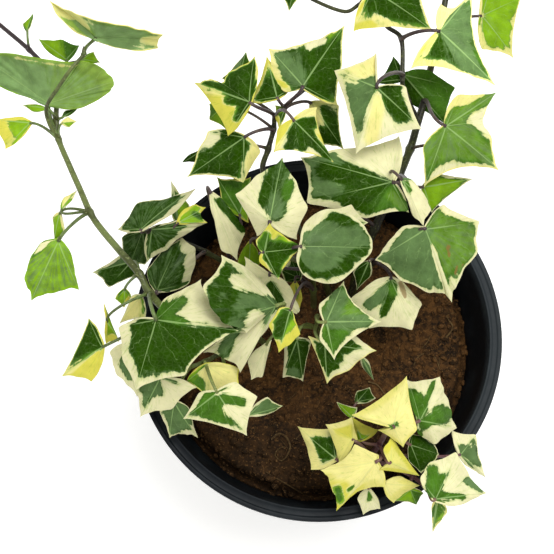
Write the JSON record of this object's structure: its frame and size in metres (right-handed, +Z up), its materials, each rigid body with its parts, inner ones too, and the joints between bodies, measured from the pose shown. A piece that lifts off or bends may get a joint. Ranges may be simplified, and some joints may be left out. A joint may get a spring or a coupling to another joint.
{
  "type": "potted variegated ivy",
  "caption": "Variegated trailing ivy with waxy, cream-edged lobed leaves on arching stems, growing in soil in a round black nursery pot that stands on its base.",
  "frame": {"origin": "middle of the pot's underside, where it stands on a surface", "axes": "+Z up; +X to the right and +Y to the back as the plant is seen in its main view"},
  "size_m": [0.3185, 0.3113, 0.2543],
  "materials": {
    "pot": "satin black, lightly dusty",
    "soil": "moist peat compost, rough and crumbly",
    "foliage": "waxy leaves in green with cream margins, on purplish-green stems"
  },
  "bodies": {
    "root": {"pot": "pot", "soil": "soil", "shoot_right_back": "foliage", "shoot_middle_back": "foliage", "shoot_long_left": "foliage", "shoot_left": "foliage", "shoot_left_back": "foliage", "shoot_centre": "foliage", "shoot_front": "foliage", "shoot_right": "foliage", "shoot_young": "foliage"}
  },
  "joints": []
}
